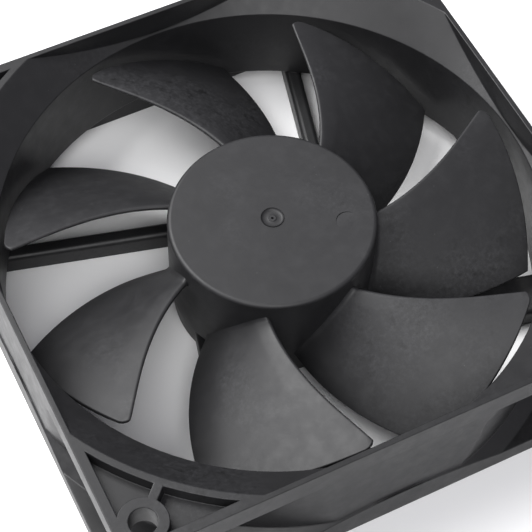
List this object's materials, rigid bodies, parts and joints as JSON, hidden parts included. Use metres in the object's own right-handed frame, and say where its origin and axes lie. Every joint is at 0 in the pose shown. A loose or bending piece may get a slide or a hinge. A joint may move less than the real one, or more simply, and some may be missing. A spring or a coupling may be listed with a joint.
{
  "type": "case fan",
  "caption": "Square axial case fan with a ducted frame, swept-blade impeller, rear struts and an enclosed brushless motor.",
  "frame": {"origin": "centre of the exhaust-side flange's underside, on the impeller's axis", "axes": "+Z along the impeller's axis from the exhaust side to the intake side, X and Y along the square frame's sides"},
  "size_m": [0.092, 0.092, 0.025],
  "materials": {
    "frame_plastic": "fine matte moulding grain, black",
    "impeller_plastic": "fine matte moulding grain, black",
    "yoke_steel": "deep-drawn zinc-plated steel",
    "magnet_ferrite": "pressed ferrite, dark grey",
    "shaft_steel": "ground and polished",
    "clip_plastic": "natural nylon",
    "washer_nylon": "natural nylon",
    "tube_brass": "turned",
    "sleeve_bronze": "sintered, oil-soaked",
    "lamination_steel": "stacked laminations",
    "insulator_nylon": "natural glass-filled nylon",
    "winding_copper": "enamelled copper wire",
    "board_laminate": "solder mask, satin",
    "chip_epoxy": "moulded epoxy",
    "capacitor_ceramic": "fired ceramic",
    "pin_tin": "tinned",
    "cap_rubber": "moulded rubber",
    "label_film": "blank metallised film"
  },
  "bodies": {
    "stator": {"frame": "frame_plastic", "oil_cap": "cap_rubber", "rear_label": "label_film", "bearing_tube": "tube_brass", "bearing_sleeve": "sleeve_bronze", "thrust_washer": "washer_nylon", "stator_core": "lamination_steel", "upper_insulator": "insulator_nylon", "lower_insulator": "insulator_nylon", "winding_1": "winding_copper", "winding_2": "winding_copper", "winding_3": "winding_copper", "winding_4": "winding_copper", "circuit_board": "board_laminate", "hall_sensor": "chip_epoxy", "driver_chip": "chip_epoxy", "capacitor": "capacitor_ceramic", "diode": "chip_epoxy", "resistors": "chip_epoxy", "terminal_pins": "pin_tin"},
    "rotor": {"impeller": "impeller_plastic", "rotor_yoke": "yoke_steel", "ring_magnet": "magnet_ferrite", "shaft": "shaft_steel", "retaining_clip": "clip_plastic", "oil_slinger": "washer_nylon"}
  },
  "joints": [
    {"name": "rotor_spin", "type": "hinge", "parent": "stator", "child": "rotor", "pos_m": [0, 0, 0.0127], "axis": [0, 0, 1], "continuous": true}
  ]
}
